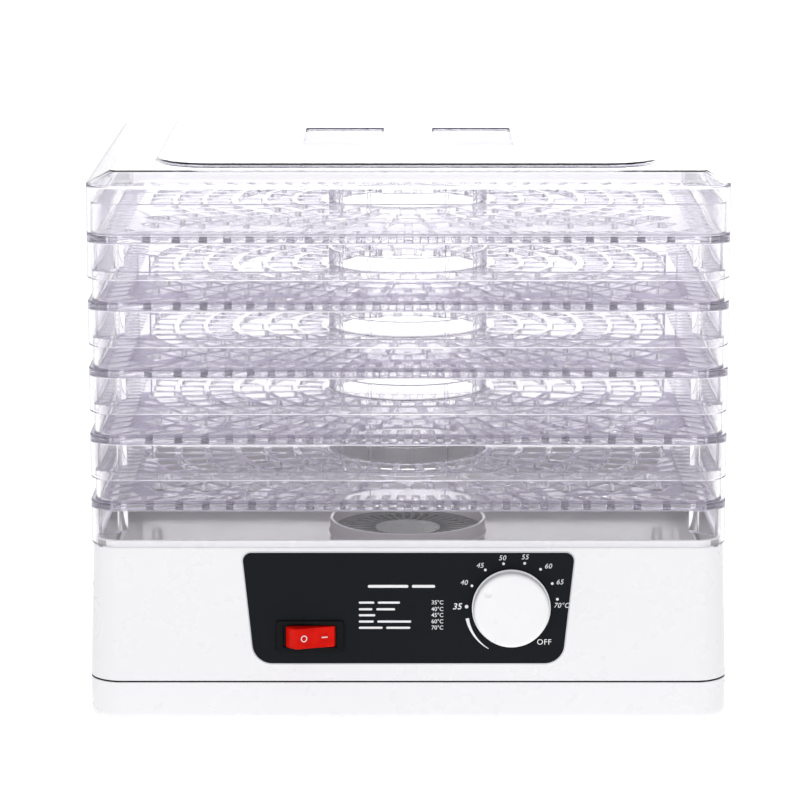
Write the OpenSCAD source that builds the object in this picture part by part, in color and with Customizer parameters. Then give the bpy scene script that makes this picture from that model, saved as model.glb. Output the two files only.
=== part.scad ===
/* [Overall] */
// Outside width of the trays and the lid
body_w = 330; // [300:1:360]
// Outside depth of the trays and the lid
body_d = 285; // [260:1:320]
// Corner radius of the trays and the lid, seen from above
corner_r = 16; // [15:0.5:20]
// Height of the rubber feet
foot_h = 3; // [2:0.5:5]

/* [Trays] */
// Height that each tray adds to the stack
tray_pitch = 34.8; // [32:0.1:40]
// Skirt length below the underside of a tray floor
skirt_h = 19.6; // [18:0.1:20]
// Upstand above the underside of a tray floor
rim_h = 19.8; // [19:0.1:21]
// Thickness of the clear walls
clear_t = 2; // [1.8:0.1:2.2]
// Step inwards from the skirt to the upstand
step_in = 2.5; // [2.3:0.1:3]
// Thickness of the tray floor
floor_t = 3.5; // [3:0.1:4]
// Ribs of the outer row of the floor, all the way round
outer_ribs = 104; // [96:4:112]
// Rib width in the floor
rib_w = 3.7; // [3:0.1:4]
// Outside radius of the ring round the air passage
ring_r = 43.5; // [42:0.5:44]
// Height of the ring above the floor
ring_h = 8.4; // [6:0.1:10]

/* [Lid] */
// Height of the lid skirt below the chamfer
lid_side = 25.4; // [24:0.1:28]
// Height of the chamfer
lid_chamfer_h = 6.8; // [6:0.1:8]
// Width of the chamfer
lid_chamfer_w = 13; // [12:0.1:13.5]
// Rise of the middle panel
lid_panel_h = 1.4; // [1:0.1:2]
// Width of each finger opening
grip_w = 43; // [38:1:46]
// Depth of each finger opening
grip_d = 81; // [60:1:84]
// Width of the bar between the openings
grip_bar = 27; // [24:1:32]

/* [Base] */
// Height of the housing from its underside to the shoulder that the trays rest on
base_h = 95; // [92:0.5:98]
// Height of the seam between the two housing halves
seam_h = 23.8; // [23:0.1:25]
// Inset of the housing at the shoulder from the trays above
top_in = 1; // [0.8:0.1:1.2]
// Width that the housing gains on each side down to the seam
draft = 2.5; // [2:0.1:3]
// Height of the locating rim above the shoulder
spigot_h = 3.2; // [2.5:0.1:4]
// Depth of the deck below the shoulder
deck_drop = 24.6; // [22:0.1:26]
// Height of the air collar above the deck
collar_h = 8; // [6:0.1:10]
// Radius of the rounded lower edge
foot_round = 7; // [5:0.5:8]

/* [Controls] */
// Knob position to the right of the middle
knob_x = 53.3; // [50:0.1:56]
// Knob position above the underside of the housing
knob_z = 63; // [61:0.1:65]
// Knob radius at the panel
knob_r = 20.4; // [18:0.1:21]
// Knob height in front of the panel
knob_h = 9; // [7:0.1:12]
// Switch position, left of the middle
switch_x = -51; // [-55:0.1:-48]
// Switch position above the underside of the housing
switch_z = 48; // [46:0.1:50]

/* [Hidden] */

clear_c = [0.87, 0.88, 0.92, 0.35];
white_c = [0.95, 0.95, 0.95];

z_bot = foot_h;
z_seam = z_bot + seam_h;
z_sh = z_bot + base_h;
z_deck = z_sh - deck_drop;
deck_t = 2.5;
wall_in = step_in + clear_t;
function tray_z(i) = z_sh + skirt_h + (5 - i) * tray_pitch;
z_lid = tray_z(1) + floor_t;
lid_h = lid_side + lid_chamfer_h;

// Housing face: half depth at the shoulder, and its lean
face_y = body_d / 2 - top_in;
lean = atan(draft / (base_h - seam_h));

// Air passage and fan
fan_r = 33;
duct_r = 36;
shaft_r = 3;
shaft_gap = 0.05;

// Screw posts and feet
post_x = 138;
post_y = 112;
foot_x = 128;
foot_y = 100;

// ---- Outlines ----

// Points of an arc that rounds the corner b of the path a, b, c
function corner_arc(a, b, c, r, n) =
  let (u = (a - b) / norm(a - b), v = (c - b) / norm(c - b), h = acos(u * v) / 2,
       m = (u + v) / norm(u + v), o = b + m * r / sin(h),
       p = b + u * r / tan(h), q = b + v * r / tan(h),
       s = atan2(p[1] - o[1], p[0] - o[0]), e0 = atan2(q[1] - o[1], q[0] - o[0]),
       e = e0 - s > 180 ? e0 - 360 : e0 - s < -180 ? e0 + 360 : e0)
  [for (i = [0 : n]) o + r * [cos(s + (e - s) * i / n), sin(s + (e - s) * i / n)]];

// Closed outline with a radius at each corner
function round_path(p, r, n = 8) = let (k = len(p))
  [for (i = [0 : k - 1]) each corner_arc(p[(i + k - 1) % k], p[i], p[(i + 1) % k], r[i], n)];

function rect_path(w, d, r) = round_path([[-w / 2, -d / 2], [w / 2, -d / 2], [w / 2, d / 2], [-w / 2, d / 2]], [r, r, r, r]);

// Both halves of a side profile given as [inset, height] pairs
function both(p, half) = concat([for (q = p) [half - q[0], q[1]]], [for (i = [len(p) - 1 : -1 : 0]) [p[i][0] - half, p[i][1]]]);

// Rounded box whose sides follow a profile of [inset, height] pairs
module rbox(w, d, r, p) {
  for (sx = [-1, 1], sy = [-1, 1]) translate([sx * (w / 2 - r), sy * (d / 2 - r), 0])
    rotate_extrude($fn = 64) polygon(concat([[0, p[0][1]]], [for (q = p) [r - q[0], q[1]]], [[0, p[len(p) - 1][1]]]));
  rotate([90, 0, 0]) linear_extrude(height = d - 2 * r, center = true) polygon(both(p, w / 2));
  rotate([90, 0, 90]) linear_extrude(height = w - 2 * r, center = true) polygon(both(p, d / 2));
}

// Children drawn on the leaning front face, with z as the outward normal
module on_face(x, z) {
  h = z_bot + z;
  translate([x, -(face_y + (z_sh - h) * tan(lean)), h]) rotate([90 - lean, 0, 0]) children();
}

// ---- Lid ----

module lid() color(clear_c) translate([0, 0, z_lid]) difference() {
  union() {
    difference() {
      rbox(body_w, body_d, corner_r, [[0.4, 0], [0, 0.4], [0, lid_side - 0.6], [0.35, lid_side], [lid_chamfer_w - 0.8, lid_h - 0.3], [lid_chamfer_w + 0.4, lid_h]]);
      rbox(body_w, body_d, corner_r, [[clear_t, -1], [clear_t, lid_side - 0.5], [lid_chamfer_w, lid_h - clear_t]]);
    }
    linear_extrude(height = lid_h + lid_panel_h) polygon(rect_path(262, 227, 28));
  }
  // Hollow under the raised panel
  difference() {
    translate([0, 0, -1]) linear_extrude(height = lid_h + lid_panel_h - clear_t + 1) polygon(rect_path(258, 223, 26));
    for (s = [-1, 1]) translate([s * (grip_bar + grip_w) / 2, 0, lid_h - 9]) linear_extrude(height = 20) polygon(rect_path(grip_w + 4, grip_d + 4, 4));
  }
  difference() {
    translate([0, 0, -1]) linear_extrude(height = lid_h - clear_t + 1) polygon(rect_path(264, 229, 28));
    translate([0, 0, -2]) linear_extrude(height = 50) polygon(rect_path(257, 222, 26));
  }
  // Finger openings, which also let the moist air out
  for (s = [-1, 1]) translate([s * (grip_bar + grip_w) / 2, 0, -2]) linear_extrude(height = 50) polygon(rect_path(grip_w, grip_d, 2.5));
}

// ---- Trays ----

// Walls, flange and stacking posts of a tray
module tray_frame(i) color(clear_c) translate([0, 0, tray_z(i)]) {
  difference() {
    rbox(body_w, body_d, corner_r, [[0.4, -skirt_h], [0, 0.4 - skirt_h], [0, floor_t - 0.6], [0.6, floor_t], [step_in, floor_t], [step_in, rim_h - 0.4], [step_in + 0.4, rim_h]]);
    rbox(body_w, body_d, corner_r, [[clear_t, -skirt_h - 1], [clear_t, 0], [wall_in, 0], [wall_in, rim_h + 1]]);
  }
  post_h = tray_pitch - rim_h;
  for (sx = [-1, 1], sy = [-1, 1]) translate([sx * (body_w / 2 - corner_r), sy * (body_d / 2 - corner_r), -post_h])
    rotate([0, 0, atan2(sy, sx)]) {
      cylinder(r = 3, h = post_h, $fn = 32);
      translate([2, -1, 0]) cube([corner_r - clear_t - 1.6, 2, post_h]);
      translate([11.2, -3, post_h - 0.01]) cube([2, 6, 0.02]);
    }
}

// Point at radius r along direction a, moved sideways by s
function ray_pt(a, r, s) = [r * cos(a) - s * sin(a), r * sin(a) + s * cos(a)];
// Distance along direction a to a rectangle of half sizes hx, hy
function edge_r(a, hx, hy) = min(abs(cos(a)) < 0.001 ? 10000 : hx / abs(cos(a)), abs(sin(a)) < 0.001 ? 10000 : hy / abs(sin(a)));

// One opening between two ribs
function cell(a, b, ra, rb, qa, qb, s) = [ray_pt(a, ra, s), ray_pt(a, qa, s), ray_pt(b, qb, -s), ray_pt(b, rb, -s)];

// Ring of openings between radii r0 and r1, kept inside a rectangle
module cell_ring(n, r0, r1, hx, hy, s, least) for (k = [0 : n - 1]) let (a = k * 360 / n, b = (k + 1) * 360 / n,
    qa = min(r1, edge_r(a, hx, hy) - s), qb = min(r1, edge_r(b, hx, hy) - s))
  if (min(qa, qb) - r0 > least) polygon(cell(a, b, r0, r0, qa, qb, s));

// Outer row of openings along the edges
module edge_ring(n, hx0, hy0, hx1, hy1, s) for (k = [0 : n - 1]) let (a = k * 360 / n, b = (k + 1) * 360 / n)
  polygon(cell(a, b, edge_r(a, hx0, hy0), edge_r(b, hx0, hy0), edge_r(a, hx1, hy1), edge_r(b, hx1, hy1), s));

// Slotted floor with the air ring
module tray_grille(i) color(clear_c) translate([0, 0, tray_z(i)]) {
  hx = body_w / 2 - wall_in;
  hy = body_d / 2 - wall_in;
  difference() {
    linear_extrude(height = floor_t) difference() {
      polygon(rect_path(2 * hx, 2 * hy, corner_r - wall_in));
      circle(r = ring_r - clear_t, $fn = 96);
      edge_ring(outer_ribs, hx - 15, hy - 15, hx - 3.4, hy - 3.4, rib_w / 2);
      for (r = [97 : 16 : 193]) cell_ring(outer_ribs / 2, r, r + 13, hx - 18.5, hy - 18.5, rib_w / 2, 6);
      for (r = [48 : 16 : 80]) cell_ring(outer_ribs / 4, r, r + 13, hx - 18.5, hy - 18.5, rib_w / 2, 6);
    }
  }
  difference() {
    cylinder(r = ring_r, h = floor_t + ring_h, $fn = 96);
    translate([0, 0, -1]) cylinder(r = ring_r - clear_t, h = floor_t + ring_h + 2, $fn = 96);
  }
  for (a = [0 : 30 : 330]) rotate([0, 0, a]) translate([ring_r - clear_t - 1.2, -0.8, 0]) cube([1.6, 1.6, floor_t + ring_h - 1]);
}

module tray_1_frame() tray_frame(1);
module tray_1_grille() tray_grille(1);
module tray_2_frame() tray_frame(2);
module tray_2_grille() tray_grille(2);
module tray_3_frame() tray_frame(3);
module tray_3_grille() tray_grille(3);
module tray_4_frame() tray_frame(4);
module tray_4_grille() tray_grille(4);
module tray_5_frame() tray_frame(5);
module tray_5_grille() tray_grille(5);

// ---- Housing ----

panel_w = 173;
panel_path = round_path([[-80.6, 32.6], [80.6, 32.6], [86.9, 92.6], [-86.9, 92.6]], [11, 11, 5, 5]);
panel_mid = 62.6;

module panel_shape() polygon([for (p = panel_path) [p[0], (p[1] - panel_mid) / cos(lean)]]);

module upper_housing() color(white_c) difference() {
  union() {
    difference() {
      // Outer skin, leaning outwards down to the seam
      rbox(body_w - 2 * top_in, body_d - 2 * top_in, corner_r - top_in, [[0.6 - draft, z_seam], [-draft, z_seam + 0.6], [0, z_sh - 1.2], [0.35, z_sh - 0.35], [1.2, z_sh]]);
      // Space for the works below the deck
      rbox(body_w, body_d, corner_r, [[3.5, z_seam - 1], [3.5, z_deck - deck_t]]);
      // Well above the deck
      rbox(body_w, body_d, corner_r, [[wall_in + 2, z_deck], [wall_in, z_deck + 2], [wall_in, z_sh + 1]]);
    }
    // Locating rim that the lowest tray drops over
    difference() {
      rbox(body_w, body_d, corner_r, [[step_in, z_sh - 1.5], [step_in, z_sh + spigot_h - 0.5], [step_in + 0.5, z_sh + spigot_h]]);
      rbox(body_w, body_d, corner_r, [[wall_in, z_sh - 3], [wall_in, z_sh + spigot_h + 1]]);
    }
    // Air collar
    translate([0, 0, z_deck - 1]) cylinder(r = ring_r, h = collar_h + 1, $fn = 128);
    // Screw posts under the deck
    for (sx = [-1, 1], sy = [-1, 1]) translate([sx * post_x, sy * post_y, z_seam + 1.2]) cylinder(r = 4.5, h = z_deck - deck_t - z_seam - 1, $fn = 32);
  }
  // Bore of the collar and seat of the air guard
  translate([0, 0, z_deck]) cylinder(r = ring_r - 2, h = collar_h + 1, $fn = 128);
  translate([0, 0, z_deck - deck_t - 1]) cylinder(r = ring_r - 4.5, h = deck_t + 2, $fn = 128);
  // Screw pilots
  for (sx = [-1, 1], sy = [-1, 1]) translate([sx * post_x, sy * post_y, z_seam]) cylinder(r = 1.6, h = 22, $fn = 24);
  // Seat of the control panel
  on_face(0, panel_mid) translate([0, 0, -0.8]) linear_extrude(height = 4) panel_shape();
  // Thermostat bush
  on_face(knob_x, knob_z) translate([0, 0, -8]) cylinder(r = 5.2, h = 12, $fn = 48);
  // Switch
  on_face(switch_x, switch_z) translate([-15.2, -6.7, -8]) cube([30.4, 13.4, 12]);
  // Cord gland
  translate([-110, body_d / 2 - 6, z_bot + 40]) rotate([-90, 0, 0]) cylinder(r = 6.2, h = 12, $fn = 48);
}

module base_pan() color(white_c) difference() {
  union() {
    difference() {
      rbox(body_w - 2 * top_in, body_d - 2 * top_in, corner_r - top_in, concat(
        [for (a = [0 : 15 : 75]) [foot_round - draft - foot_round * sin(a) + 0.4, z_bot + foot_round - foot_round * cos(a)]],
        [[-draft + 0.3, z_bot + foot_round], [-draft, z_seam - 1.3], [0.5 - draft, z_seam - 0.8], [1.6 - draft, z_seam - 0.8], [1.6 - draft, z_seam]]));
      rbox(body_w, body_d, corner_r, [[6, z_bot + 2.4], [3.5, z_bot + 5], [3.5, z_seam + 1]]);
    }
    // Tongue inside the upper half
    difference() {
      rbox(body_w, body_d, corner_r, [[3.9, z_seam - 3], [3.9, z_seam + 4]]);
      rbox(body_w, body_d, corner_r, [[5.6, z_seam - 4], [5.6, z_seam + 5]]);
    }
    rbox_ring();
    // Screw posts
    for (sx = [-1, 1], sy = [-1, 1]) translate([sx * post_x, sy * post_y, z_bot + 1]) cylinder(r = 6, h = seam_h - 0.2, $fn = 40);
    // Motor posts
    for (sx = [-1, 1]) translate([sx * 38, 0, z_bot + 1]) cylinder(r = 4, h = 7, $fn = 32);
  }
  for (sx = [-1, 1], sy = [-1, 1]) translate([sx * post_x, sy * post_y, z_bot - 1]) {
    cylinder(r = 2.2, h = 40, $fn = 32);
    cylinder(r = 4.2, h = 13, $fn = 32);
  }
  for (sx = [-1, 1]) translate([sx * 38, 0, z_bot + 3]) cylinder(r = 1.3, h = 8, $fn = 24);
  // Air intake: rings of slots in the underside
  for (a = [0 : 15 : 345]) rotate([0, 0, a + 7.5]) {
    translate([44, -2.2, z_bot - 1]) cube([24, 4.4, 5]);
    if (a % 30 == 0) translate([14, -2.2, z_bot - 1]) cube([18, 4.4, 5]);
  }
  // Seats of the feet
  for (sx = [-1, 1], sy = [-1, 1]) translate([sx * foot_x, sy * foot_y, z_bot - 1]) cylinder(r = 3.1, h = 6, $fn = 32);
}

// Ledge that ties the tongue to the wall
module rbox_ring() difference() {
  rbox(body_w, body_d, corner_r, [[3.2, z_seam - 3], [3.2, z_seam - 1.2]]);
  rbox(body_w, body_d, corner_r, [[5.6, z_seam - 4], [5.6, z_seam + 1]]);
}

module rubber_feet() color([0.12, 0.12, 0.12]) for (sx = [-1, 1], sy = [-1, 1]) translate([sx * foot_x, sy * foot_y, 0]) {
  rotate_extrude($fn = 64) polygon([[0, 0], [7.2, 0], [8, 0.8], [8.5, foot_h], [0, foot_h]]);
  translate([0, 0, foot_h - 0.5]) cylinder(r = 3, h = 2.9, $fn = 32);
  translate([0, 0, foot_h + 2.4]) cylinder(r1 = 4.2, r2 = 3, h = 2, $fn = 32);
}

module housing_screws() color([0.7, 0.7, 0.72]) for (sx = [-1, 1], sy = [-1, 1]) translate([sx * post_x, sy * post_y, 0]) difference() {
  union() {
    translate([0, 0, z_bot + 9.4]) cylinder(r = 3.8, h = 2.6, $fn = 40);
    translate([0, 0, z_bot + 11]) cylinder(r = 1.5, h = 31, $fn = 32);
  }
  for (a = [0, 90]) rotate([0, 0, a]) translate([-2.2, -0.5, z_bot + 9]) cube([4.4, 1, 1.8]);
}

// ---- Controls ----

module control_panel() color([0.12, 0.14, 0.16]) difference() {
  on_face(0, panel_mid) translate([0, 0, -0.8]) linear_extrude(height = 1.2) panel_shape();
  on_face(knob_x, knob_z) translate([0, 0, -3]) cylinder(r = 5.2, h = 8, $fn = 48);
  on_face(switch_x, switch_z) translate([-15.2, -6.7, -3]) cube([30.4, 13.4, 8]);
}

module control_knob() color(white_c) on_face(knob_x, knob_z) difference() {
  rotate_extrude($fn = 96) polygon([[0, 1.2], [knob_r - 0.3, 1.2], [knob_r, 1.6], [knob_r - 0.9, knob_h - 1.6], [knob_r - 1.5, knob_h - 0.5], [knob_r - 2.6, knob_h], [0, knob_h]]);
  translate([0, 0, 0]) cylinder(r = 9.6, h = 5.2, $fn = 64);
  translate([0, 0, 0]) cylinder(r = 3, h = 7.6, $fn = 48);
  // Pointer dimple
  rotate([0, 0, 143]) translate([15.2, 0, knob_h + 1.9]) sphere(r = 2.8, $fn = 32);
}

module thermostat_shaft() color([0.75, 0.75, 0.77]) on_face(knob_x, knob_z) translate([0, 0, -17]) cylinder(r = 3, h = 24.6, $fn = 48);

module thermostat_body() color([0.86, 0.84, 0.78]) on_face(knob_x, knob_z) difference() {
  union() {
    translate([-15, -25.6, -20]) cube([30, 29.8, 13.6]);
    translate([-9, -12, -7]) cube([18, 16.2, 2.4]);
    translate([0, 0, -7]) cylinder(r = 5, h = 10.2, $fn = 48);
    for (x = [-9, 9]) translate([x - 3.15, -31, -16]) cube([6.3, 8, 0.8]);
  }
  translate([0, 0, -17.5]) cylinder(r = 3 + shaft_gap, h = 30, $fn = 48);
}

module thermostat_nut() color([0.8, 0.75, 0.55]) on_face(knob_x, knob_z) difference() {
  translate([0, 0, 0.4]) cylinder(r = 8, h = 2.2, $fn = 6);
  translate([0, 0, -1]) cylinder(r = 5, h = 8, $fn = 48);
}

// Tilt of the rocker each way, its pivot depth and its end radius
rock_tilt = 19;
rock_pivot = 3;
rock_r = 13.6;

module switch_housing() color([0.08, 0.08, 0.09]) on_face(switch_x, switch_z) difference() {
  union() {
    translate([0, 0, 0.4]) linear_extrude(height = 1.6) polygon(rect_path(35.2, 16.4, 1.6));
    translate([-15, -6.5, -17]) cube([30, 13, 17.6]);
  }
  translate([-13.95, -5.75, -9.5]) cube([27.9, 11.5, 20]);
  translate([0, 0, -rock_pivot]) rotate([90, 0, 0]) cylinder(r = 1.2 + shaft_gap, h = 20, center = true, $fn = 48);
}

// Rocker, shown with its right end pressed in
module switch_rocker() color([0.85, 0.08, 0.06]) on_face(switch_x, switch_z) translate([0, 0, -rock_pivot]) rotate([0, rock_tilt, 0]) {
  // Pins
  rotate([90, 0, 0]) cylinder(r = 1.2, h = 12.6, center = true, $fn = 48);
  rotate([90, 0, 0]) linear_extrude(height = 10.9, center = true) polygon(concat(
    [for (x = [-10.2 : 2.55 : 10.2]) [x, 8.7 + 0.3 * pow(x / 10.2, 2)]],
    [for (a = [41 : -6 : 5]) rock_r * [cos(a), sin(a)]],
    [[4, -4.5], [-4, -4.5]],
    [for (a = [175 : -6 : 139]) rock_r * [cos(a), sin(a)]]));
}

module switch_terminals() color([0.8, 0.72, 0.5]) on_face(switch_x, switch_z) for (x = [-9, 0, 9])
  translate([x - 0.4, -3.1, -25]) cube([0.8, 6.2, 8]);

// ---- Air path ----

module air_guard() color([0.62, 0.62, 0.64]) translate([0, 0, z_deck]) difference() {
  cylinder(r = ring_r - 2.2, h = 2, $fn = 128);
  for (a = [0 : 10 : 350]) rotate([0, 0, a]) translate([18, -1.3, -1]) cube([15.5, 2.6, 4]);
}

module heater_duct() color([0.75, 0.75, 0.76]) translate([0, 0, z_deck - deck_t]) difference() {
  union() {
    translate([0, 0, -31]) cylinder(r = duct_r + 0.8, h = 31, $fn = 128);
    translate([0, 0, -1]) cylinder(r = duct_r + 8, h = 1, $fn = 128);
  }
  translate([0, 0, -36]) cylinder(r = duct_r, h = 40, $fn = 128);
}

coil_z = z_deck - deck_t - 10;

module coil_rings(g) for (r = [16, 26]) translate([0, 0, coil_z]) rotate_extrude($fn = 96) translate([r, 0]) circle(r = 2.2 + g, $fn = 24);

module heater_frame() color([0.72, 0.66, 0.52]) difference() {
  union() {
    for (a = [0 : 60 : 120]) rotate([0, 0, a]) translate([-35.6, -0.6, coil_z - 6]) cube([71.2, 1.2, 12]);
    translate([0, 0, coil_z - 6]) cylinder(r = 3, h = 12, $fn = 24);
  }
  coil_rings(0);
}

module heater_coil() color([0.6, 0.6, 0.62]) coil_rings(0);

module thermal_fuse() color([0.9, 0.88, 0.82]) rotate([0, 0, 30]) translate([29.6, -7, coil_z + 6]) rotate([-90, 0, 0]) {
  cylinder(r = 2, h = 14, $fn = 32);
  translate([0, 0, -4]) cylinder(r = 0.5, h = 22, $fn = 16);
}

fan_z = z_bot + 38;

module fan_impeller() color([0.3, 0.3, 0.32]) translate([0, 0, fan_z]) difference() {
  union() {
    cylinder(r = 9, h = 10, $fn = 64);
    for (a = [0 : 72 : 288]) rotate([0, 0, a]) translate([8, 0, 5]) rotate([32, 0, 0]) translate([0, -9, -0.7]) cube([fan_r - 10.5, 18, 1.4]);
  }
  translate([0, 0, -1]) cylinder(r = shaft_r, h = 9, $fn = 48);
}

module motor_rotor() color([0.6, 0.6, 0.62]) {
  translate([0, 0, z_bot + 6]) cylinder(r = shaft_r, h = fan_z + 8 - z_bot - 6, $fn = 48);
  translate([0, 0, z_bot + 15]) cylinder(r = 10.6, h = 15, $fn = 64);
}

module motor_stator() color([0.5, 0.5, 0.52]) translate([0, 0, z_bot + 15.5]) linear_extrude(height = 14) difference() {
  translate([-24, -19]) square([48, 60]);
  circle(r = 11.1, $fn = 64);
  translate([-14, 17]) square([28, 13]);
  for (x = [-18.5, 18.5], y = [-14]) translate([x, y]) circle(r = 1.9, $fn = 24);
}

module motor_coil() color([0.75, 0.4, 0.2]) translate([0, 35.5, z_bot + 22.5]) difference() {
  rotate([0, 90, 0]) linear_extrude(height = 27, center = true) polygon(rect_path(26, 21.6, 3));
  cube([40, 11, 14], center = true);
}

module bearing_brackets() color([0.78, 0.78, 0.8]) {
  // Lower bracket, on the posts of the pan
  difference() {
    union() {
      translate([-44, -6, z_bot + 8]) cube([88, 12, 1.6]);
      translate([0, 0, z_bot + 8]) cylinder(r = 7, h = 5, $fn = 48);
      for (s = [-1, 1]) translate([s * 18.5 - 3, -18, z_bot + 8]) cube([6, 18, 1.6]);
      for (s = [-1, 1]) translate([s * 18.5, -14, z_bot + 8]) cylinder(r = 3.2, h = 7.5, $fn = 32);
    }
    translate([0, 0, z_bot + 7]) cylinder(r = shaft_r + shaft_gap, h = 8, $fn = 48);
    for (s = [-1, 1]) translate([s * 38, 0, z_bot + 7]) cylinder(r = 1.8, h = 4, $fn = 24);
    for (s = [-1, 1]) translate([s * 18.5, -14, z_bot + 7]) cylinder(r = 1.9, h = 10, $fn = 24);
  }
  // Upper bracket, on the stator
  difference() {
    union() {
      translate([-22, -6, z_bot + 33.4]) cube([44, 12, 1.6]);
      translate([0, 0, z_bot + 31.4]) cylinder(r = 7, h = 3.6, $fn = 48);
      for (s = [-1, 1]) translate([s * 18.5 - 3, -18, z_bot + 33.4]) cube([6, 14, 1.6]);
      for (s = [-1, 1]) translate([s * 18.5, -14, z_bot + 29.5]) cylinder(r = 3.2, h = 5, $fn = 32);
    }
    translate([0, 0, z_bot + 30]) cylinder(r = shaft_r + shaft_gap, h = 8, $fn = 48);
    for (s = [-1, 1]) translate([s * 18.5, -14, z_bot + 29]) cylinder(r = 1.9, h = 10, $fn = 24);
  }
}

module motor_screws() color([0.72, 0.72, 0.74]) {
  for (s = [-1, 1]) translate([s * 18.5, -14, z_bot + 7]) {
    cylinder(r = 1.8, h = 29, $fn = 24);
    translate([0, 0, 28]) cylinder(r = 3.2, h = 2, $fn = 32);
    translate([0, 0, -1.2]) cylinder(r = 3.2, h = 2.2, $fn = 6);
  }
  for (s = [-1, 1]) translate([s * 38, 0, z_bot + 9.6]) {
    cylinder(r = 3, h = 2, $fn = 32);
    translate([0, 0, -6]) cylinder(r = 1.2, h = 6.5, $fn = 24);
  }
}

// ---- Mains inlet ----

gland_r = 3.6;

module cord_gland() color([0.1, 0.1, 0.1]) translate([-110, body_d / 2, z_bot + 40]) rotate([-90, 0, 0]) difference() {
  union() {
    translate([0, 0, -7]) cylinder(r = 6, h = 12, $fn = 64);
    rotate_extrude($fn = 64) polygon([[3, 1.5], [8.4, 1.5], [8.4, 2.8], [6.2, 3.6], [5.4, 8.6], [3, 8.6]]);
    translate([0, 0, -6.6]) cylinder(r = 8, h = 1.8, $fn = 64);
  }
  translate([0, 0, -10]) cylinder(r = gland_r, h = 30, $fn = 64);
}

module terminal_block() color([0.9, 0.88, 0.8]) translate([-96, 92, z_bot + 2.4]) difference() {
  cube([30, 16, 14]);
  for (x = [5, 15, 25]) translate([x, -1, 6]) rotate([-90, 0, 0]) cylinder(r = 1.6, h = 18, $fn = 24);
  for (x = [5, 15, 25], y = [4, 12]) translate([x, y, 6]) cylinder(r = 1.6, h = 10, $fn = 24);
}

lid();
tray_1_frame();
tray_1_grille();
tray_2_frame();
tray_2_grille();
tray_3_frame();
tray_3_grille();
tray_4_frame();
tray_4_grille();
tray_5_frame();
tray_5_grille();
upper_housing();
base_pan();
control_panel();
control_knob();
thermostat_shaft();
thermostat_body();
thermostat_nut();
switch_housing();
switch_rocker();
switch_terminals();
air_guard();
heater_duct();
heater_frame();
heater_coil();
thermal_fuse();
fan_impeller();
motor_rotor();
motor_stator();
motor_coil();
bearing_brackets();
motor_screws();
cord_gland();
terminal_block();
housing_screws();
rubber_feet();
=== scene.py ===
from math import atan, atan2, ceil, cos, pi, radians, sin, sqrt, tan

import bpy
import bmesh
from mathutils import Matrix, Vector
from mathutils.geometry import delaunay_2d_cdt


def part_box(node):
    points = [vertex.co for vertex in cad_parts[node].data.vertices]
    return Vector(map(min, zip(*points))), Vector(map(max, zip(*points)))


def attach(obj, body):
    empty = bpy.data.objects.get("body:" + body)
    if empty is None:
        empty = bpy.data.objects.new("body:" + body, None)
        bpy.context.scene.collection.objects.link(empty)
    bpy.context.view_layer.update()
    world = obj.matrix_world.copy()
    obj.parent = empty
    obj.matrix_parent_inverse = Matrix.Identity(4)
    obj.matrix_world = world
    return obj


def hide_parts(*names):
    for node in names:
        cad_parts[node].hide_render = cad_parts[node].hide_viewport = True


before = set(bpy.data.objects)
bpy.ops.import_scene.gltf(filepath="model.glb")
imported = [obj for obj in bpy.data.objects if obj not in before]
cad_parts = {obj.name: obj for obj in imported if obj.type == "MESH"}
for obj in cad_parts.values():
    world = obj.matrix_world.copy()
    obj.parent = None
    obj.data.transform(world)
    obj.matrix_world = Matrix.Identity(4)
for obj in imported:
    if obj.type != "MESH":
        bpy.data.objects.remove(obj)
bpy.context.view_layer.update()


MM = 0.001


def mm(node):
    """Lowest and highest corner of a CAD node, in mm."""
    lo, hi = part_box(node)
    return [c / MM for c in lo], [c / MM for c in hi]


# ---------------------------------------------------------------- outlines

def rrect(hx, hy, r, z, n=10):
    """Rounded rectangle of half sizes hx, hy, the same number of points for any radius."""
    pts = []
    for sx, sy, a0 in ((1, 1, 0), (-1, 1, 90), (-1, -1, 180), (1, -1, 270)):
        for i in range(n + 1):
            a = radians(a0 + 90 * i / n)
            pts.append((sx * (hx - r) + r * cos(a), sy * (hy - r) + r * sin(a), z))
    return pts


def circle(x, y, r, z, n=48, a0=0.0):
    return [(x + r * cos(a0 + 2 * pi * i / n), y + r * sin(a0 + 2 * pi * i / n), z) for i in range(n)]


def rpoly(corners, radii, off, z, n=6):
    """Polygon with rounded corners, moved outwards by off."""
    out = []
    k = len(corners)
    for i in range(k):
        a, b, c = (Vector(corners[j % k]) for j in (i - 1, i, i + 1))
        u, v = (a - b).normalized(), (c - b).normalized()
        half = u.angle(v) / 2
        r = min(radii[i], 0.46 * min((a - b).length, (c - b).length) * tan(half))
        o = b + (u + v).normalized() * r / sin(half)
        p, q = b + u * r / tan(half), b + v * r / tan(half)
        s, e = atan2(p.y - o.y, p.x - o.x), atan2(q.y - o.y, q.x - o.x)
        while e - s > pi:
            e -= 2 * pi
        while e - s < -pi:
            e += 2 * pi
        for j in range(n + 1):
            t = s + (e - s) * j / n
            out.append((o.x + (r + off) * cos(t), o.y + (r + off) * sin(t), z))
    return out


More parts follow.
